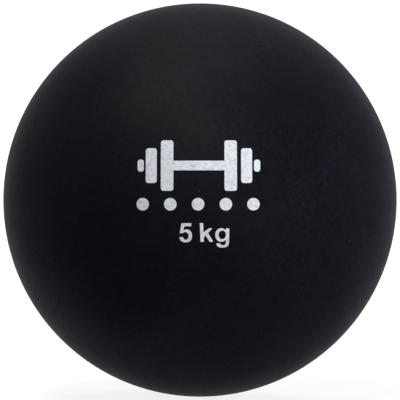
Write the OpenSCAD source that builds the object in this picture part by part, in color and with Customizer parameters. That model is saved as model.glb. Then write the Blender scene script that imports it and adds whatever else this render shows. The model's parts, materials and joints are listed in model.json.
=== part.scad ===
// Soft medicine ball: a moulded shell part-filled with iron sand, whose
// filling port is closed by a ribbed plug that carries a needle valve.
// The origin is the ball's centre, +Z is up, and the port faces +Y.

/* [Shell] */
// Outer diameter of the ball
ball_d = 180; // [150:1:240]
// Thickness of the moulded wall
wall = 6; // [4:0.5:9]
// Height of the mould's parting line above the surface
parting_h = 0.12; // [0.05:0.01:0.3]
// Width of the parting line at its root, just under the surface
parting_w = 0.9; // [0.5:0.1:2]

/* [Filling port] */
// Diameter of the port's bore
port_d = 12; // [11:0.5:15]
// Thickness of the neck's wall around the bore
neck_wall = 9; // [7:0.5:12]
// Length of the neck, from the ball's surface inwards
neck_len = 22; // [18:1:28]
// Radius of the fillet where the neck meets the shell's inner wall
neck_fillet = 6; // [2:0.5:9]
// Radius of the neck's inner rim
neck_rim = 2; // [0.5:0.5:2.5]
// Depth of the recess for the plug's head
recess_depth = 2.4; // [2:0.1:4]
// Chamfer on the recess's lip
recess_chamfer = 0.35; // [0.1:0.05:0.5]

/* [Fill plug] */
// How far the plug's head reaches past the bore, all round
head_lip = 2.8; // [2:0.1:4]
// Gap between the head's edge and the recess
head_gap = 0.2; // [0.1:0.05:0.4]
// Gap under the head
seat_gap = 0.1; // [0.05:0.05:0.3]
// How far the head's dome lies below the ball's surface
head_inset = 0.15; // [0:0.05:0.5]
// Number of sealing ribs on the stem
rib_count = 4; // [2:1:5]
// Radial clearance of the ribs in the bore
rib_clearance = 0.05; // [0.02:0.01:0.1]
// Depth of the stem's waist between the ribs
rib_depth = 0.7; // [0.3:0.1:1.2]
// Width of each rib's crest
rib_land = 0.8; // [0.3:0.1:1.2]
// Distance from the stem's tip to the neck's end
tip_setback = 1; // [0.5:0.5:2]
// Diameter of the airway from the valve to the cavity
airway_d = 2.6; // [1.6:0.2:3.6]

/* [Needle valve] */
// Diameter of the valve's body
valve_d = 5; // [4.4:0.1:6]
// Length of the valve's body, below its flange
valve_len = 12.5; // [9:0.5:13.5]
// Diameter of the valve's flange
flange_d = 8; // [7:0.5:9]
// Thickness of the valve's flange
flange_t = 1.2; // [0.8:0.1:1.6]
// Height of the ridge that locks the valve in the plug
ridge_h = 0.5; // [0.2:0.1:0.8]
// Width of the ridge at its foot
ridge_w = 2; // [1.2:0.1:2.4]
// Distance from the valve's tip to the ridge
ridge_setback = 2; // [1:0.5:3]
// Clearance of the valve in the plug
valve_fit = 0.02; // [0.01:0.01:0.05]
// Diameter of the needle's passage
needle_d = 2.1; // [1.8:0.1:2.4]
// Depth of the funnel at the passage's mouth
funnel_depth = 0.8; // [0.4:0.1:1.2]
// Diameter of the funnel's mouth
funnel_d = 3.4; // [2.8:0.1:4]
// Thickness of the lips that close the passage
lip_t = 2; // [1:0.5:3]

/* [Filling] */
// Height of the sand's level above the ball's centre
sand_level = 17; // [-30:1:45]
// Gap between the sand and the shell
sand_gap = 0.3; // [0.2:0.1:1]

/* [Hidden] */
$fn = 180;

shell_colour = "#1c1c1f";
plug_colour = "#2b2b30";
valve_colour = "#3d3d42";
sand_colour = "#4a4641";

// Profiles are drawn with x as the distance from the port's axis and
// y as the height along it, measured from the ball's centre.
ball_r = ball_d / 2;
cavity_r = ball_r - wall;
port_r = port_d / 2;
neck_r = port_r + neck_wall;
neck_end = ball_r - neck_len;

// Centre of the fillet, whose arc touches the neck and just crosses the wall's
fillet_cross = 0.03;
fillet_reach = cavity_r - neck_fillet + fillet_cross;
fillet_x = neck_r + neck_fillet;
fillet_y = sqrt(pow(fillet_reach, 2) - pow(fillet_x, 2));
wall_touch = cavity_r / fillet_reach;

head_r = port_r + head_lip;
recess_r = head_r + head_gap;
recess_floor = ball_r - recess_depth;
lip_y = sqrt(pow(ball_r, 2) - pow(recess_r, 2));
seat_y = recess_floor + seat_gap;
dome_r = ball_r - head_inset;

rib_r = port_r - rib_clearance;
stem_r = rib_r - rib_depth;
stem_end = neck_end + tip_setback;
tip_chamfer = rib_depth;
shank = 1.6;
rib_pitch = (seat_y - shank - stem_end - tip_chamfer) / rib_count;
rib_rise = 0.3;

valve_r = valve_d / 2;
flange_r = flange_d / 2;
flange_y = dome_r - flange_t;
valve_end = flange_y - valve_len;
ridge_y = valve_end + ridge_setback;
needle_r = needle_d / 2;
passage_end = valve_end + lip_t;
valve_tip_gap = 0.3;

// Length of cut that clears a surface it passes through
over = 1;

// Turns a profile about the port's axis, which is +Y.
module turned() {
    rotate([-90, 0, 0])
        rotate_extrude()
            intersection() {
                translate([0, -ball_d])
                    square([ball_d, 2 * ball_d]);
                children();
            }
}

// A ring's profile, from one radius to another and between two heights
module band(inner, outer, low, high) {
    translate([inner, low])
        square([outer - inner, high - low]);
}

// Outline of the neck with its fillet, grown by a gap on the cavity's side
module neck_profile(gap) {
    rim = neck_rim + gap;
    side = neck_r + gap;
    low = neck_end - gap;
    difference() {
        polygon([
            [0, low],
            [side - rim, low],
            [side, low + rim],
            [side, fillet_y],
            [fillet_x, fillet_y],
            [fillet_x * wall_touch, fillet_y * wall_touch],
            [0, ball_r]
        ]);
        translate([fillet_x, fillet_y])
            circle(r = neck_fillet - gap);
    }
    translate([side - rim, low + rim])
        circle(r = rim);
}

// The hollow inside the shell, or with a gap the space that the sand may fill
module cavity_profile(gap) {
    difference() {
        circle(r = cavity_r - gap);
        neck_profile(gap);
    }
}

// The low ridge that the two halves of the mould leave round the ball
module parting_profile() {
    root = ball_r - parting_h;
    crest = ball_r + parting_h;
    polygon([
        [root - over, -parting_w / 2],
        [root, -parting_w / 2],
        [crest, -parting_w / 4],
        [crest, parting_w / 4],
        [root, parting_w / 2],
        [root - over, parting_w / 2]
    ]);
}

// The port's bore, the head's recess and the chamfer on the recess's lip
module port_profile() {
    band(0, port_r, neck_end - over, ball_r + over);
    band(0, recess_r, recess_floor, ball_r + over);
    polygon([
        [recess_r - over, lip_y - recess_chamfer - over],
        [recess_r, lip_y - recess_chamfer],
        [recess_r + recess_chamfer + over, lip_y + over],
        [recess_r - over, lip_y + over]
    ]);
}

// Outline of the plug: its head, a shank, then ribs that slope to the cavity
module plug_profile() {
    first_rib = seat_y - shank;
    ribs = [
        for (i = [0 : rib_count - 1])
            let (top = first_rib - i * rib_pitch)
                each [
                    [stem_r, top],
                    [rib_r, top - rib_rise],
                    [rib_r, top - rib_rise - rib_land],
                    [stem_r, top - rib_pitch + rib_rise]
                ]
    ];
    polygon(concat(
        [
            [0, ball_r + over],
            [head_r, ball_r + over],
            [head_r, seat_y],
            [stem_r, seat_y]
        ],
        ribs,
        [
            [stem_r, stem_end + tip_chamfer],
            [stem_r - tip_chamfer, stem_end],
            [0, stem_end]
        ]
    ));
}

// Outside of the valve, grown by a fit where the plug holds it
module valve_profile(fit) {
    band(0, valve_r + fit, valve_end, flange_y + over / 2);
    band(0, flange_r + fit, flange_y, ball_r + over);
    translate([valve_r, ridge_y])
        polygon([
            [-over, -fit],
            [fit, -fit],
            [ridge_h + fit, ridge_w / 3],
            [ridge_h + fit, ridge_w * 2 / 3],
            [fit, ridge_w + fit],
            [-over, ridge_w + fit]
        ]);
}

module shell() {
    color(shell_colour)
        turned()
            difference() {
                union() {
                    circle(r = ball_r);
                    parting_profile();
                }
                cavity_profile(0);
                port_profile();
            }
}

module fill_plug() {
    color(plug_colour)
        turned()
            difference() {
                intersection() {
                    circle(r = dome_r);
                    plug_profile();
                }
                valve_profile(valve_fit);
                band(0, valve_r, valve_end - valve_tip_gap, valve_end + over);
                band(0, airway_d / 2, stem_end - over, valve_end);
            }
}

module needle_valve() {
    color(valve_colour)
        turned()
            difference() {
                intersection() {
                    circle(r = dome_r);
                    valve_profile(0);
                }
                band(0, needle_r, passage_end, ball_r + over);
                polygon([
                    [0, dome_r - funnel_depth],
                    [needle_r, dome_r - funnel_depth],
                    [funnel_d / 2, dome_r],
                    [funnel_d / 2, dome_r + over],
                    [0, dome_r + over]
                ]);
            }
}

module iron_sand() {
    color(sand_colour)
        intersection() {
            turned()
                cavity_profile(sand_gap);
            translate([-ball_r, -ball_r, -ball_d])
                cube([ball_d, ball_d, ball_d + sand_level]);
        }
}

shell();
fill_plug();
needle_valve();
iron_sand();
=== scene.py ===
"""A soft medicine ball on a pale floor: a moulded shell with its print, a ribbed
plug with a needle valve in its port, and the iron sand inside.

The port's axis is Y, so what is turned is drawn as (distance from the axis, y)."""

import json
import math

import bmesh
import bpy
from mathutils import Matrix, Vector, noise


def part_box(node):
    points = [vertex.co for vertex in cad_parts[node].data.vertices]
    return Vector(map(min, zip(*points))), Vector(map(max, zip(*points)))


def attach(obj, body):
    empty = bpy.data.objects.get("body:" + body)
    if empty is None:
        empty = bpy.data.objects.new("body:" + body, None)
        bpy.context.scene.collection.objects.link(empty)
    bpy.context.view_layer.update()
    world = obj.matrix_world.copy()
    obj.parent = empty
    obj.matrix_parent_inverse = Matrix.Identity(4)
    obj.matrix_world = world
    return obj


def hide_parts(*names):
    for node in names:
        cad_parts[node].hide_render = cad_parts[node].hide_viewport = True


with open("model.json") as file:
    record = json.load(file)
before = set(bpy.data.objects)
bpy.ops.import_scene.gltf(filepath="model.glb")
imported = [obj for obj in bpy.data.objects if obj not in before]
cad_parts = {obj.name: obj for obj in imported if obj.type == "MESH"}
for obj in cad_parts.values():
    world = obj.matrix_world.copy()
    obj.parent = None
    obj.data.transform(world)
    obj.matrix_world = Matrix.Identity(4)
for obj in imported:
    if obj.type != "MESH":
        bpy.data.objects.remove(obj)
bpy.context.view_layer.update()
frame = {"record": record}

MM = 0.001

# Sizes that the frame gives
shell_low, shell_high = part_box("shell")
plug_low, plug_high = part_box("fill_plug")
valve_low, valve_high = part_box("needle_valve")
sand_low, sand_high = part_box("iron_sand")
needle = next(m for m in frame["record"]["mounts"] if m["name"] == "needle_passage")

BALL_R = -shell_low.y
PARTING_R = shell_high.x
FLOOR_Z = shell_low.z
HEAD_R = plug_high.x
TIP_Y = plug_low.y
FLANGE_R = valve_high.x
VALVE_END = valve_low.y
SAND_R = -sand_low.y
SAND_LEVEL = sand_high.z
NEEDLE_R = needle["dims"]["r_mm"] * MM

# The moulding
WALL = 6 * MM
PORT_R = 6 * MM
NECK_R = 15 * MM
NECK_LEN = 22 * MM
NECK_FILLET = 6 * MM
NECK_RIM = 2 * MM
RECESS_DEPTH = 2.4 * MM
RECESS_GAP = 0.2 * MM
LIP_ROUND = 0.45 * MM
PORT_ROUND = 0.3 * MM
# The parting line: half its root, along the surface, and all of its flat crest
PARTING_SPREAD = 0.45 * MM
PARTING_FLAT = 0.25 * MM

# The plug
HEAD_INSET = 0.15 * MM
HEAD_ROUND = 0.4 * MM
HEAD_FOOT_ROUND = 0.25 * MM
SEAT_GAP = 0.1 * MM
SHANK = 1.6 * MM
SHANK_ROUND = 0.3 * MM
STEM_R = 5.25 * MM
RIB_R = 5.95 * MM
RIB_COUNT = 4
# How far below a rib's top its crest starts and ends, and its foot above the next one
RIB_RISE = 0.35 * MM
RIB_FALL = 1.1 * MM
RIB_FOOT = 0.3 * MM
RIB_ROUND = 0.12 * MM
TIP_BEVEL = 0.7 * MM
TIP_ROUND = 0.15 * MM
AIRWAY_R = 1.3 * MM
AIRWAY_ROUND = 0.2 * MM

# The valve
VALVE_R = 2.5 * MM
VALVE_ROUND = 0.4 * MM
VALVE_FIT = 0.02 * MM
VALVE_END_GAP = 0.3 * MM
FLANGE_T = 1.2 * MM
FLANGE_ROUND = 0.2 * MM
# From the valve's end up to the ridge that locks it in the plug
RIDGE_UP = 2 * MM
RIDGE_W = 2 * MM
RIDGE_H = 0.5 * MM
RIDGE_ROUND = 0.15 * MM
FUNNEL_R = 1.7 * MM
FUNNEL_DEPTH = 0.8 * MM
FUNNEL_ROUND = 0.1 * MM
MOUTH_ROUND = 0.15 * MM
LIPS_T = 2 * MM

# Heaps on the sand: their height, the grid that they are drawn on and how many there are
HEAP = 1.4 * MM
HEAP_CELL = 3 * MM
HEAPS_PER_METRE = 45

# The print: how proud and how thick the ink is, and the grid that it is cut along
INK_LIFT = 0.04 * MM
INK_DEPTH = 0.1 * MM
INK_CELL = 2.5 * MM
INK_REACH = 102 * MM
EMBLEM_X = -0.45 * MM
EMBLEM_Z = 14.3 * MM
GRIP = (22.4 * MM, 4 * MM)
GRIP_ROUND = 0.9 * MM
# How far out each plate's middle is, its width and its height
PLATES = [
    (13.2 * MM, 5.2 * MM, 21 * MM),
    (19.8 * MM, 4.6 * MM, 14.5 * MM),
    (24.2 * MM, 2.6 * MM, 5 * MM),
]
PLATE_ROUND = 1.1 * MM
MASS = 5
PIP_R = 2.6 * MM
PIP_PITCH = 11.5 * MM
PIPS_X = -0.8 * MM
PIPS_Z = -1.75 * MM
MARK_X = -8.8 * MM
MARK_Z = -17.35 * MM

# Plain block figures in mm from the mark's lower left corner: a corner is (x, z), and
# a point that the line runs smoothly through is (x, z, True)
FIVE = [
    (1.15, 7.75), (5.2, 7.75), (5.12, 6.45), (2.3, 6.45), (1.95, 4.75), (3.25, 5.2, True),
    (4.85, 4.45, True), (5.5, 2.55, True), (4.85, 0.5, True), (3, -0.2, True),
    (0.92, 0.5, True), (0.15, 1.9), (1.6, 1.95), (2.85, 0.84, True), (4.07, 2.52, True),
    (2.85, 4.08, True), (1.6, 3.6), (0.42, 3.6),
]
LETTER_K = [
    (8.68, 7.8), (10.1, 7.8), (10.3, 3.95), (12.45, 5.65), (13.95, 5.65), (12.15, 3.75),
    (14.3, 0), (12.8, 0), (11.15, 2.6), (10.4, 1.9), (10.4, 0), (9.02, 0),
]
LETTER_G = [
    (19.6, 5.6), (20.95, 5.6), (20.85, -0.5), (20.1, -1.9, True), (18.1, -2.38, True),
    (16.2, -1.95, True), (15.32, -0.68), (16.95, -0.6), (18.1, -1.4, True),
    (19.25, -1, True), (19.5, 0.7), (17.6, 0, True), (15.85, 0.8, True),
    (15.12, 2.9, True), (15.85, 4.9, True), (17.6, 5.72, True), (19.5, 4.95),
]
EYE_OF_G = [
    (18.05, 4.7, True), (19.55, 2.95, True), (18.05, 1.12, True), (16.48, 2.95, True),
]

# The stage, in metres, with each surface's own grey and the white that it shows
STAGE_REACH = 4
STAGE_BACK = 2
FLOOR_FINISH = (0.22, 0.85)
BACKDROP_FINISH = (0.35, 1.0)
ROOM_LIGHT = 0.1

# The camera: its distance in radii, and the ball's radius in its square picture
CAMERA_RADII = 10
SILHOUETTE_R = 196.75
PICTURE = 400

UPRIGHT = Matrix.Rotation(math.pi / 2, 3, "X")
SMOOTH_ANGLE = math.radians(40)
CORNER_STEPS = 5
BAR_CORNER_STEPS = 6
# How near points are to be one, and how near a cut they count as on it
WELD = 0.002 * MM
CUT_DIST = 0.0001 * MM


class Wire:
    """A line drawn point by point beside the port's axis, then spun about it."""

    def __init__(self, r, y):
        self.bm = bmesh.new()
        self.start = self.end = self.bm.verts.new((r, y, 0))
        self.corners = []

    def to(self, r, y, rounding=0):
        """A straight run, whose far corner may be rounded."""
        before, self.end = self.end, self.bm.verts.new((r, y, 0))
        self.bm.edges.new((before, self.end))
        if rounding:
            self.round_end(rounding)
        return self

    def turn(self, degrees, steps, centre=(0, 0)):
        """An arc about a centre, which is the ball's own if none is given."""
        swept = bmesh.ops.spin(
            self.bm,
            geom=[self.end],
            cent=(*centre, 0),
            axis=(0, 0, 1),
            angle=math.radians(degrees),
            steps=steps,
        )
        self.end = swept["geom_last"][0]
        return self

    def round_end(self, rounding):
        """Marks the corner where the line has got to."""
        self.corners.append((self.end, rounding))
        return self

    def close(self):
        self.bm.edges.new((self.end, self.start))
        return self

    def spun(self, segments):
        for corner, radius in self.corners:
            bmesh.ops.bevel(
                self.bm,
                geom=[corner],
                offset=radius,
                segments=CORNER_STEPS,
                profile=0.5,
                affect="VERTICES",
                material=-1,
            )
        bmesh.ops.spin(
            self.bm,
            geom=self.bm.verts[:] + self.bm.edges[:],
            cent=(0, 0, 0),
            axis=(0, 1, 0),
            angle=2 * math.pi,
            steps=segments,
            use_merge=True,
        )
        bmesh.ops.remove_doubles(self.bm, verts=self.bm.verts, dist=WELD)
        return self.bm


def height_on_circle(radius, r):
    """How far along the axis a circle about the centre is, r away from the axis."""
    return math.sqrt(radius**2 - r**2)


def angle_on_circle(radius, r):
    """The angle, from the plane y = 0, at which such a circle is r away from the axis."""
    return math.degrees(math.acos(r / radius))


def point_on_circle(radius, degrees):
    """The point of such a circle at an angle from the plane y = 0."""
    angle = math.radians(degrees)
    return radius * math.cos(angle), radius * math.sin(angle)


def finish_piece(name, bm, material, body, replaced=()):
    """Turns a bmesh into a smooth piece that rides on a body."""
    bmesh.ops.remove_doubles(bm, verts=bm.verts, dist=WELD)
    bmesh.ops.recalc_face_normals(bm, faces=bm.faces)
    for face in bm.faces:
        face.smooth = True
    for edge in bm.edges:
        edge.smooth = edge.calc_face_angle(0) < SMOOTH_ANGLE
    mesh = bpy.data.meshes.new(name)
    bm.to_mesh(mesh)
    bm.free()
    mesh.materials.append(material)
    piece = bpy.data.objects.new(name, mesh)
    bpy.context.scene.collection.objects.link(piece)
    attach(piece, body)
    if replaced:
        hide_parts(*replaced)


# ---------------------------------------------------------------- finishes

# Places of the Mix node's sockets for colours
MIX_SHARE, MIX_FIRST, MIX_SECOND, MIX_RESULT = 0, 6, 7, 2


def fill(tree, socket, value):
    """Gives an input a link or a plain value."""
    if isinstance(value, bpy.types.NodeSocket):
        tree.links.new(value, socket)
    else:
        socket.default_value = value


def node(tree, kind, inputs=None, **settings):
    """Adds a node, sets it up and fills its inputs."""
    made = tree.nodes.new(kind)
    for name, value in settings.items():
        setattr(made, name, value)
    for name, value in (inputs or {}).items():
        fill(tree, made.inputs[name], value)
    return made


def maths(tree, operation, first, second):
    made = node(tree, "ShaderNodeMath", operation=operation)
    fill(tree, made.inputs[0], first)
    fill(tree, made.inputs[1], second)
    return made.outputs[0]


def plus(tree, first, second):
    return maths(tree, "ADD", first, second)


def times(tree, first, second):
    return maths(tree, "MULTIPLY", first, second)


def mixed(tree, share, first, second):
    """A colour between two others."""
    made = node(tree, "ShaderNodeMix", data_type="RGBA")
    fill(tree, made.inputs[MIX_SHARE], share)
    fill(tree, made.inputs[MIX_FIRST], first)
    fill(tree, made.inputs[MIX_SECOND], second)
    return made.outputs[MIX_RESULT]


def eased(tree, value, low, high):
    """0 below low, 1 above high and smooth between them."""
    return node(
        tree,
        "ShaderNodeMapRange",
        {"Value": value, "From Min": low, "From Max": high},
        interpolation_type="SMOOTHSTEP",
    ).outputs["Result"]


def between(tree, mask, low, high):
    """A number that runs from one value to another with a mask."""
    return node(
        tree, "ShaderNodeMapRange", {"Value": mask, "To Min": low, "To Max": high}
    ).outputs["Result"]


def spot_on_piece(tree):
    """Where on its piece a point is."""
    return node(tree, "ShaderNodeTexCoord").outputs["Object"]


def noise_field(tree, where, scale, detail, roughness):
    return node(
        tree,
        "ShaderNodeTexNoise",
        {"Vector": where, "Scale": scale, "Detail": detail, "Roughness": roughness},
    ).outputs["Fac"]


def cell_field(tree, where, scale):
    """Scattered cells: the distance to each one's middle, and a colour of its own."""
    return node(tree, "ShaderNodeTexVoronoi", {"Vector": where, "Scale": scale}).outputs


def drawn_lots(tree, cells):
    """Three numbers that each cell draws."""
    return node(tree, "ShaderNodeSeparateColor", {"Color": cells["Color"]}).outputs


def effect(name, inputs, output_names):
    """An empty node group with named number inputs and outputs."""
    group = bpy.data.node_groups.new(name, "ShaderNodeTree")
    number = "NodeSocketFloat"
    for socket, value in inputs.items():
        made = group.interface.new_socket(socket, in_out="INPUT", socket_type=number)
        made.default_value = value
    for socket in output_names:
        group.interface.new_socket(socket, in_out="OUTPUT", socket_type=number)
    given = group.nodes.new("NodeGroupInput").outputs
    out = group.nodes.new("NodeGroupOutput").inputs
    return group, given, out


def place_effect(tree, group, values):
    return node(tree, "ShaderNodeGroup", values, node_tree=group).outputs


def moulded_grain():
    """The skin of a moulding: the height of its fine pores, and its blotchy tone."""
    group, given, out = effect(
        "moulded_grain",
        {"Grains per metre": 3000, "Flecks per metre": 350, "Clouds per metre": 40},
        ["Height", "Mottle"],
    )
    cell_rise, fleck_rise = 0.5, 1.5
    fleck_tone, cloud_tone = 0.7, 0.3
    darkest, lightest = 0.34, 0.66
    where = spot_on_piece(group)
    cells = cell_field(group, where, given["Grains per metre"])
    pores = noise_field(group, where, given["Grains per metre"], detail=3.0, roughness=0.6)
    flecks = noise_field(group, where, given["Flecks per metre"], detail=4.0, roughness=0.65)
    clouds = noise_field(group, where, given["Clouds per metre"], detail=4.0, roughness=0.6)
    fine = plus(group, times(group, cells["Distance"], cell_rise), pores)
    height = plus(group, fine, times(group, flecks, fleck_rise))
    tone = plus(group, times(group, flecks, fleck_tone), times(group, clouds, cloud_tone))
    group.links.new(height, out["Height"])
    group.links.new(eased(group, tone, darkest, lightest), out["Mottle"])
    return group


def settled_dust():
    """Sparse pale specks, as lint and chalk leave on a matt skin."""
    group, given, out = effect(
        "settled_dust", {"Specks per metre": 70, "Speck size": 0.05, "Kept": 0.9}, ["Specks"]
    )
    smallest = 0.4
    cells = cell_field(group, spot_on_piece(group), given["Specks per metre"])
    lots = drawn_lots(group, cells)
    chosen = maths(group, "GREATER_THAN", lots["Red"], given["Kept"])
    size = times(group, given["Speck size"], plus(group, lots["Green"], smallest))
    near = maths(group, "LESS_THAN", cells["Distance"], size)
    strength = times(group, near, lots["Blue"])
    group.links.new(times(group, chosen, strength), out["Specks"])
    return group


def print_wear():
    """Where a pad-printed film is thin: fine mottling and pinholes."""
    group, given, out = effect(
        "print_wear",
        {"Mottles per metre": 900, "Pinholes per metre": 1500, "Pinhole size": 0.2},
        ["Cover"],
    )
    thin, full = 0.2, 0.62
    where = spot_on_piece(group)
    mottle = noise_field(group, where, given["Mottles per metre"], detail=5.0, roughness=0.7)
    cells = cell_field(group, where, given["Pinholes per metre"])
    hole = times(group, given["Pinhole size"], drawn_lots(group, cells)["Red"])
    closed = maths(group, "GREATER_THAN", cells["Distance"], hole)
    cover = eased(group, mottle, thin, full)
    group.links.new(times(group, cover, closed), out["Cover"])
    return group


def principled(name):
    """A new material: its tree and its shader."""
    material = bpy.data.materials.new(name)
    material.use_nodes = True
    tree = material.node_tree
    return material, tree, tree.nodes["Principled BSDF"]


def dress(tree, shader, colour, roughness, height, strength, depth):
    """Links a surface's colour, roughness and grain to its shader."""
    tree.links.new(colour, shader.inputs["Base Color"])
    tree.links.new(roughness, shader.inputs["Roughness"])
    bump = node(
        tree, "ShaderNodeBump", {"Height": height, "Strength": strength, "Distance": depth}
    )
    tree.links.new(bump.outputs["Normal"], shader.inputs["Normal"])


def dusty_moulding(name, grain, dust, scales, lint, tones, roughness, relief, gloss):
    """A moulded skin with dust on it.

    The tones are the skin's dark, its light and the dust's. The roughness is the dark's
    and the light's, and the relief is the grain's strength and depth."""
    material, tree, shader = principled(name)
    skin = place_effect(tree, grain, scales)
    specks = place_effect(tree, dust, lint)["Specks"]
    dark, light, dusty = tones
    colour = mixed(tree, specks, mixed(tree, skin["Mottle"], dark, light), dusty)
    rough = between(tree, skin["Mottle"], *roughness)
    dress(tree, shader, colour, rough, skin["Height"], *relief)
    shader.inputs["Specular IOR Level"].default_value = gloss
    return material


def soft_touch_pvc(grain, dust):
    """The shell: matt black, faintly blotched, with a fine skin and a few specks of dust."""
    return dusty_moulding(
        "soft_touch_pvc",
        grain,
        dust,
        scales={"Grains per metre": 2600, "Flecks per metre": 560, "Clouds per metre": 45},
        lint={"Specks per metre": 250, "Speck size": 0.08, "Kept": 0.7},
        tones=(
            (0.0039, 0.0038, 0.0067, 1),
            (0.0075, 0.0072, 0.0127, 1),
            (0.036, 0.036, 0.038, 1),
        ),
        roughness=(0.53, 0.47),
        relief=(0.35, 0.06 * MM),
        gloss=0.012,
    )


def plug_pvc(grain, dust):
    """The plug: a harder, closer-grained black than the shell, with chalk settled on it."""
    return dusty_moulding(
        "plug_pvc",
        grain,
        dust,
        scales={"Grains per metre": 5000, "Flecks per metre": 900, "Clouds per metre": 120},
        lint={"Specks per metre": 260, "Speck size": 0.06, "Kept": 0.85},
        tones=((0.010, 0.010, 0.012, 1), (0.016, 0.016, 0.018, 1), (0.09, 0.09, 0.09, 1)),
        roughness=(0.45, 0.36),
        relief=(0.2, 0.04 * MM),
        gloss=0.12,
    )


def valve_rubber(grain, dust):
    """The valve: soft grey-black rubber, bloomed and dusty."""
    return dusty_moulding(
        "valve_rubber",
        grain,
        dust,
        scales={"Grains per metre": 6000, "Flecks per metre": 1500, "Clouds per metre": 300},
        lint={"Specks per metre": 500, "Speck size": 0.08, "Kept": 0.8},
        tones=((0.020, 0.020, 0.022, 1), (0.034, 0.034, 0.035, 1), (0.14, 0.14, 0.13, 1)),
        roughness=(0.7, 0.58),
        relief=(0.3, 0.04 * MM),
        gloss=0.15,
    )


def dry_iron_sand(grain):
    """Iron sand: dark grains, the odd one rusty and the odd one bright."""
    grains_per_metre = 1800.0
    rusty_above = 0.86
    bright_above = 0.9
    material, tree, shader = principled("dry_iron_sand")
    cells = cell_field(tree, spot_on_piece(tree), grains_per_metre)
    lots = drawn_lots(tree, cells)
    skin = place_effect(
        tree, grain, {"Grains per metre": 4000, "Flecks per metre": 700, "Clouds per metre": 60}
    )
    dark = mixed(tree, skin["Mottle"], (0.016, 0.014, 0.013, 1), (0.042, 0.037, 0.034, 1))
    is_rusty = maths(tree, "GREATER_THAN", lots["Red"], rusty_above)
    rusty = mixed(tree, is_rusty, dark, (0.095, 0.046, 0.026, 1))
    is_bright = maths(tree, "GREATER_THAN", lots["Green"], bright_above)
    colour = mixed(tree, is_bright, rusty, (0.17, 0.165, 0.15, 1))
    rough = between(tree, lots["Blue"], low=0.35, high=0.8)
    dress(tree, shader, colour, rough, cells["Distance"], strength=0.9, depth=0.35 * MM)
    return material


def pad_print_ink(wear):
    """Off-white ink, thin enough for the black to show through where it is worn."""
    material, tree, shader = principled("pad_print_ink")
    cover = place_effect(
        tree, wear, {"Mottles per metre": 750, "Pinholes per metre": 1300, "Pinhole size": 0.22}
    )["Cover"]
    ink = mixed(tree, cover, (0.47, 0.49, 0.535, 1), (0.745, 0.77, 0.83, 1))
    rough = between(tree, cover, low=0.65, high=0.5)
    dress(tree, shader, ink, rough, cover, strength=0.15, depth=0.02 * MM)
    shader.inputs["Specular IOR Level"].default_value = 0.02
    return material


# ------------------------------------------------------------------ pieces


def neck_fillet(cavity_r):
    """The centre of the round between the neck and the inside wall, and where it ends."""
    r = NECK_R + NECK_FILLET
    centre = (r, height_on_circle(cavity_r - NECK_FILLET, r))
    return centre, math.degrees(math.atan2(centre[1], centre[0]))


def shell(material):
    """Outside, parting line, port, neck and inside wall, from the print's pole round."""
    cavity_r = BALL_R - WALL
    recess_r = HEAD_R + RECESS_GAP
    recess_floor = BALL_R - RECESS_DEPTH
    neck_end = BALL_R - NECK_LEN
    root = math.degrees(PARTING_SPREAD / BALL_R)
    lip = angle_on_circle(BALL_R, recess_r)
    centre, touch = neck_fillet(cavity_r)

    wire = Wire(0, -BALL_R).turn(90 - root, steps=90)
    wire.to(PARTING_R, -PARTING_FLAT / 2)
    wire.to(PARTING_R, PARTING_FLAT / 2)
    wire.to(*point_on_circle(BALL_R, root))
    wire.turn(lip - root, steps=84).round_end(LIP_ROUND)
    wire.to(recess_r, recess_floor, PORT_ROUND)
    wire.to(PORT_R, recess_floor, PORT_ROUND)
    wire.to(PORT_R, neck_end, PORT_ROUND)
    wire.to(NECK_R, neck_end, NECK_RIM)
    wire.to(NECK_R, centre[1])
    wire.turn(touch - 180, steps=12, centre=centre)
    wire.turn(-90 - touch, steps=84)
    bm = wire.spun(segments=240)
    finish_piece("moulded_shell", bm, material, "ball", ["shell"])


def plug(material):
    """A round head, and a stem whose ribs grip the port."""
    seat = BALL_R - RECESS_DEPTH + SEAT_GAP
    dome = BALL_R - HEAD_INSET
    flange_r = FLANGE_R + VALVE_FIT
    bore_r = VALVE_R + VALVE_FIT
    start = angle_on_circle(dome, flange_r)
    rim = angle_on_circle(dome, HEAD_R)
    pitch = (seat - SHANK - TIP_Y - TIP_BEVEL) / RIB_COUNT
    groove = VALVE_END + RIDGE_UP

    wire = Wire(flange_r, height_on_circle(dome, flange_r))
    wire.turn(rim - start, steps=10).round_end(HEAD_ROUND)
    wire.to(HEAD_R, seat, HEAD_FOOT_ROUND)
    wire.to(STEM_R, seat, SHANK_ROUND)
    for i in range(RIB_COUNT):
        top = seat - SHANK - i * pitch
        wire.to(STEM_R, top)
        wire.to(RIB_R, top - RIB_RISE, RIB_ROUND)
        wire.to(RIB_R, top - RIB_FALL, RIB_ROUND)
        wire.to(STEM_R, top - pitch + RIB_FOOT)
    wire.to(STEM_R, TIP_Y + TIP_BEVEL)
    wire.to(STEM_R - TIP_BEVEL, TIP_Y, TIP_ROUND)
    wire.to(AIRWAY_R, TIP_Y, AIRWAY_ROUND)
    wire.to(AIRWAY_R, VALVE_END - VALVE_END_GAP)
    wire.to(bore_r, VALVE_END - VALVE_END_GAP)
    wire.to(bore_r, groove)
    wire.to(bore_r + RIDGE_H, groove + RIDGE_W / 3)
    wire.to(bore_r + RIDGE_H, groove + RIDGE_W * 2 / 3)
    wire.to(bore_r, groove + RIDGE_W)
    wire.to(bore_r, dome - FLANGE_T)
    wire.to(flange_r, dome - FLANGE_T)
    bm = wire.close().spun(segments=120)
    finish_piece("ribbed_plug", bm, material, "plug", ["fill_plug"])


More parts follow.
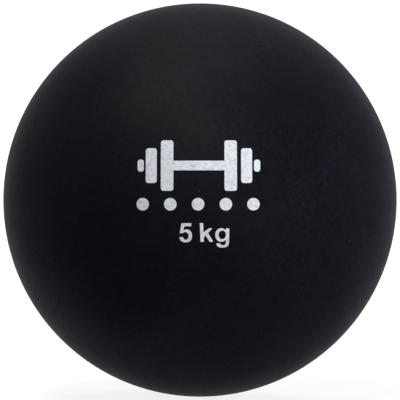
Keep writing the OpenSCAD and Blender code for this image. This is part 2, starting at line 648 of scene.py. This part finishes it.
def valve(material):
    """A flanged core with a funnel and a passage for the needle, shut below by its lips."""
    dome = BALL_R - HEAD_INSET
    passage_end = VALVE_END + LIPS_T
    ridge = VALVE_END + RIDGE_UP
    start = angle_on_circle(dome, FUNNEL_R)
    rim = angle_on_circle(dome, FLANGE_R)

    wire = Wire(0, passage_end).to(NEEDLE_R, passage_end)
    wire.to(NEEDLE_R, dome - FUNNEL_DEPTH, FUNNEL_ROUND)
    wire.to(FUNNEL_R, height_on_circle(dome, FUNNEL_R), MOUTH_ROUND)
    wire.turn(rim - start, steps=6).round_end(FLANGE_ROUND)
    wire.to(FLANGE_R, dome - FLANGE_T)
    wire.to(VALVE_R, dome - FLANGE_T)
    wire.to(VALVE_R, ridge + RIDGE_W)
    wire.to(VALVE_R + RIDGE_H, ridge + RIDGE_W * 2 / 3, RIDGE_ROUND)
    wire.to(VALVE_R + RIDGE_H, ridge + RIDGE_W / 3, RIDGE_ROUND)
    wire.to(VALVE_R, ridge)
    wire.to(VALVE_R, VALVE_END, VALVE_ROUND)
    wire.to(0, VALVE_END)
    bm = wire.spun(segments=96)
    finish_piece("valve_core", bm, material, "plug", ["needle_valve"])


def cut_in_cells(bm, faces, axes, pitch, reach):
    """Cuts faces along a square grid across two axes, so that they can be bent."""
    lines = math.ceil(reach / 2 / pitch)
    for axis in axes:
        for i in range(-lines, lines + 1):
            edges = {e for f in faces for e in f.edges}
            verts = {v for f in faces for v in f.verts}
            cut = bmesh.ops.bisect_plane(
                bm,
                geom=[*verts, *edges, *faces],
                dist=CUT_DIST,
                plane_co=Vector(axis) * (i * pitch),
                plane_no=axis,
            )
            faces = [g for g in cut["geom"] if isinstance(g, bmesh.types.BMFace)]
    return faces


def sand(material):
    """The filling: level on top, with the low heaps that pouring and rolling leave."""
    gap = BALL_R - WALL - SAND_R
    neck_r = NECK_R + gap
    neck_end = BALL_R - NECK_LEN - gap
    centre, touch = neck_fillet(BALL_R - WALL)

    wire = Wire(0, neck_end).to(neck_r, neck_end, NECK_RIM + gap)
    wire.to(neck_r, centre[1])
    wire.turn(touch - 180, steps=10, centre=centre)
    wire.to(*point_on_circle(SAND_R, touch))
    wire.turn(-90 - touch, steps=72)
    bm = wire.spun(segments=120)
    cut = bmesh.ops.bisect_plane(
        bm,
        geom=bm.verts[:] + bm.edges[:] + bm.faces[:],
        dist=CUT_DIST,
        plane_co=(0, 0, SAND_LEVEL - HEAP),
        plane_no=(0, 0, 1),
        clear_outer=True,
    )
    rim = [g for g in cut["geom_cut"] if isinstance(g, bmesh.types.BMEdge)]
    rim_verts = {v for e in rim for v in e.verts}
    top = bmesh.ops.contextual_create(bm, geom=rim)["faces"]
    top = cut_in_cells(bm, top, [(1, 0, 0), (0, 1, 0)], HEAP_CELL, SAND_R)
    loose = {v for f in top for v in f.verts if all(g in top for g in v.link_faces)}
    for v in loose - rim_verts:
        v.co.z += HEAP * noise.noise(v.co * HEAPS_PER_METRE)
    finish_piece("iron_sand_fill", bm, material, "filling", ["iron_sand"])


# ------------------------------------------------------------------- print


def print_on_ball(name, bm, ink):
    """Bends a flat shape in the plane y = 0 on to the front of the ball, as a film of ink."""
    faces = cut_in_cells(bm, bm.faces[:], [(1, 0, 0), (0, 0, 1)], INK_CELL, INK_REACH)
    raised = bmesh.ops.extrude_face_region(bm, geom=faces)["geom"]
    raised = [g for g in raised if isinstance(g, bmesh.types.BMVert)]
    bmesh.ops.translate(bm, verts=raised, vec=(0, -INK_DEPTH, 0))
    for v in bm.verts:
        front = -height_on_circle(BALL_R, v.co.xz.length)
        outward = Vector((v.co.x, front, v.co.z)).normalized()
        v.co = outward * (BALL_R + INK_LIFT - INK_DEPTH - v.co.y)
    finish_piece(name, bm, ink, "ball")


def rounded_bar(bm, centre, size, radius):
    """A flat bar with round corners, scaled from a unit square."""
    bar = bmesh.ops.create_grid(bm, x_segments=1, y_segments=1, size=0.5)["verts"]
    bmesh.ops.scale(bm, verts=bar, vec=(*size, 1))
    bmesh.ops.rotate(bm, verts=bar, cent=(0, 0, 0), matrix=UPRIGHT)
    bmesh.ops.translate(bm, verts=bar, vec=(centre[0], 0, centre[1]))
    bmesh.ops.bevel(
        bm,
        geom=bar,
        offset=radius,
        segments=BAR_CORNER_STEPS,
        profile=0.5,
        affect="VERTICES",
        material=-1,
    )


def dumbbell_mark(ink):
    """A plain dumbbell: grip, plates and the ends of the bar."""
    bm = bmesh.new()
    rounded_bar(bm, (EMBLEM_X, EMBLEM_Z), GRIP, GRIP_ROUND)
    for side in (-1, 1):
        for out, width, height in PLATES:
            centre = (EMBLEM_X + side * out, EMBLEM_Z)
            rounded_bar(bm, centre, (width, height), PLATE_ROUND)
    print_on_ball("dumbbell_mark", bm, ink)


def mass_pips(ink):
    """One pip for each kilogram."""
    bm = bmesh.new()
    for i in range(MASS):
        centre = (PIPS_X + (i - (MASS - 1) / 2) * PIP_PITCH, 0, PIPS_Z)
        bmesh.ops.create_circle(
            bm,
            cap_ends=True,
            segments=40,
            radius=PIP_R,
            matrix=Matrix.Translation(centre) @ UPRIGHT.to_4x4(),
        )
    print_on_ball("mass_pips", bm, ink)


def mass_mark(ink):
    """The plain mark "5 kg", filled in between its outlines."""
    marks = bpy.data.curves.new("mass_mark", "CURVE")
    marks.dimensions = "2D"
    marks.fill_mode = "BOTH"
    marks.resolution_u = 8
    for outline in (FIVE, LETTER_K, LETTER_G, EYE_OF_G):
        line = marks.splines.new("BEZIER")
        line.bezier_points.add(len(outline) - 1)
        line.use_cyclic_u = True
        for point, (x, z, *runs_on) in zip(line.bezier_points, outline):
            point.co = (MARK_X + x * MM, MARK_Z + z * MM, 0)
            kind = "AUTO" if runs_on else "VECTOR"
            point.handle_left_type = point.handle_right_type = kind
    holder = bpy.data.objects.new("mass_mark_outline", marks)
    bpy.context.scene.collection.objects.link(holder)
    bm = bmesh.new()
    bm.from_mesh(holder.to_mesh())
    bpy.data.objects.remove(holder)
    bmesh.ops.remove_doubles(bm, verts=bm.verts, dist=WELD)
    bmesh.ops.rotate(bm, verts=bm.verts, cent=(0, 0, 0), matrix=UPRIGHT)
    print_on_ball("mass_mark", bm, ink)


# ------------------------------------------------------------------- stage


def seen_rays(tree):
    """1 for what is seen, straight or in a gloss or through glass, 0 for stray light."""
    rays = node(tree, "ShaderNodeLightPath").outputs
    seen = maths(tree, "MAXIMUM", rays["Is Camera Ray"], rays["Is Glossy Ray"])
    return maths(tree, "MAXIMUM", seen, rays["Is Transmission Ray"])


def pale_stage(name, grey, glow):
    """A matt stage finish that shows white, yet throws back only what its own grey does."""
    material, tree, shader = principled(name)
    shader.inputs["Base Color"].default_value = (grey, grey, grey, 1)
    shader.inputs["Roughness"].default_value = 1.0
    shader.inputs["Specular IOR Level"].default_value = 0.0
    shader.inputs["Emission Color"].default_value = (1, 1, 1, 1)
    shown = times(tree, seen_rays(tree), glow)
    tree.links.new(shown, shader.inputs["Emission Strength"])
    material.cycles.emission_sampling = "NONE"
    return material


def flat_sheet(name, corners, material):
    bm = bmesh.new()
    bm.faces.new([bm.verts.new(c) for c in corners])
    mesh = bpy.data.meshes.new(name)
    bm.to_mesh(mesh)
    bm.free()
    mesh.materials.append(material)
    sheet = bpy.data.objects.new(name, mesh)
    bpy.context.scene.collection.objects.link(sheet)


def stage():
    """A floor under the ball, and a backdrop that stands on its far edge."""
    left, right, near, far = -STAGE_REACH, STAGE_REACH, -STAGE_REACH, STAGE_BACK
    low, high = FLOOR_Z, STAGE_REACH
    floor = [(left, near, low), (right, near, low), (right, far, low), (left, far, low)]
    flat_sheet("floor", floor, pale_stage("pale_floor", *FLOOR_FINISH))
    backdrop = [(left, far, low), (right, far, low), (right, far, high), (left, far, high)]
    flat_sheet("backdrop", backdrop, pale_stage("white_backdrop", *BACKDROP_FINISH))


def softbox(name, spot, size, power, colour=(1, 1, 1)):
    """A rectangular soft lamp that faces the ball."""
    lamp = bpy.data.lights.new(name, "AREA")
    lamp.shape = "RECTANGLE"
    lamp.size, lamp.size_y = size
    lamp.energy = power
    lamp.color = colour
    holder = bpy.data.objects.new(name, lamp)
    holder.location = spot
    holder.rotation_euler = (-holder.location).to_track_quat("-Z", "Y").to_euler()
    holder.visible_camera = False
    bpy.context.scene.collection.objects.link(holder)
    return holder


def lights():
    """A high key, low fills, one lamp behind, and sheets that show only in the gloss.

    Each has its place and its size in metres, and its power in watts."""
    softbox("softbox_high", (-0.2, -0.45, 1.17), (0.5, 0.4), 11.6)
    softbox("panel_right", (1.25, 0, 0.25), (0.7, 0.6), 2.3)
    softbox("card_low_right", (0.32, -0.36, -0.02), (0.34, 0.13), 1.43)
    for lamp in (
        ("softbox_back", (0.5, 1.5, 0.9), (1.4, 1), 28),
        ("card_low_left", (-0.13, -0.012, -0.08), (0.12, 0.08), 0.06),
        ("card_under", (-0.03, -0.062, -0.088), (0.1, 0.04), 0.012),
    ):
        softbox(*lamp).visible_glossy = False
    warm = (1, 0.98, 0.72)
    for lamp in (
        ("sheen_top", (0, 0, 1.3), (1.2, 1.2), 21.5),
        ("sheen_left", (-0.55, -0.55, 1.05), (0.5, 0.4), 18),
        ("sheen_front", (0, -1.1, 0.8), (0.7, 0.4), 36),
    ):
        softbox(*lamp, warm).visible_diffuse = False


def room():
    """White round about, with only a dim grey light of its own."""
    world = bpy.data.worlds.new("room")
    bpy.context.scene.world = world
    world.use_nodes = True
    world.cycles.sampling_method = "NONE"
    tree = world.node_tree
    background = tree.nodes["Background"]
    strength = maths(tree, "MAXIMUM", seen_rays(tree), ROOM_LIGHT)
    tree.links.new(strength, background.inputs["Strength"])
    background.inputs["Color"].default_value = (1, 1, 1, 1)


def camera():
    """Level with the ball's centre, in front of the print."""
    away = CAMERA_RADII * BALL_R
    focal = SILHOUETTE_R / math.tan(math.asin(BALL_R / away))
    lens = bpy.data.cameras.new("camera")
    lens.sensor_width = 36
    lens.lens = focal * lens.sensor_width / PICTURE
    lens.clip_end = 100
    holder = bpy.data.objects.new("camera", lens)
    holder.location = (0, -away, 0)
    holder.rotation_euler = (math.pi / 2, 0, 0)
    bpy.context.scene.collection.objects.link(holder)
    bpy.context.scene.camera = holder


camera()
bpy.context.scene.view_settings.view_transform = "Standard"
grain, dust = moulded_grain(), settled_dust()
shell(soft_touch_pvc(grain, dust))
plug(plug_pvc(grain, dust))
valve(valve_rubber(grain, dust))
sand(dry_iron_sand(grain))
ink = pad_print_ink(print_wear())
dumbbell_mark(ink)
mass_pips(ink)
mass_mark(ink)

stage()
lights()
room()
